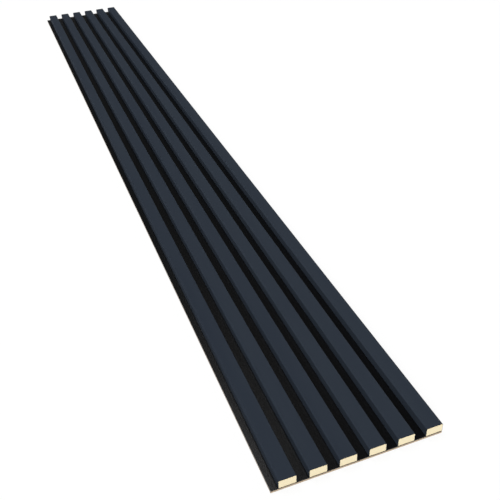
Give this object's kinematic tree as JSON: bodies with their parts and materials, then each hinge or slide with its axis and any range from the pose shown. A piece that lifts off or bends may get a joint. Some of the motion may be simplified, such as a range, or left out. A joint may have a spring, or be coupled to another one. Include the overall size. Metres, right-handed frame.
{
  "type": "slat wall panel",
  "caption": "Long wall panel of parallel foil-wrapped slats glued on a thin black-faced board, with a bare lip along one edge to meet the next panel.",
  "frame": {"origin": "middle of the board's back face, which lies on the wall or the floor", "axes": "+X across the slats from the bare lip to the flush edge, +Y along the slats, +Z out of the wall, from the board's back to the slats' fronts"},
  "size_m": [0.3, 2.6, 0.0216],
  "materials": {
    "slat_foil": "matte",
    "black_film": "satin",
    "pale_fibreboard": "matte",
    "hard_fibreboard": "matte",
    "glue": "satin"
  },
  "bodies": {
    "root": {"backing_board": "hard_fibreboard", "face_film": "black_film", "slat_core_1": "pale_fibreboard", "slat_wrap_1": "slat_foil", "glue_bed_1": "glue", "slat_core_2": "pale_fibreboard", "slat_wrap_2": "slat_foil", "glue_bed_2": "glue", "slat_core_3": "pale_fibreboard", "slat_wrap_3": "slat_foil", "glue_bed_3": "glue", "slat_core_4": "pale_fibreboard", "slat_wrap_4": "slat_foil", "glue_bed_4": "glue", "slat_core_5": "pale_fibreboard", "slat_wrap_5": "slat_foil", "glue_bed_5": "glue", "slat_core_6": "pale_fibreboard", "slat_wrap_6": "slat_foil", "glue_bed_6": "glue"}
  },
  "joints": []
}
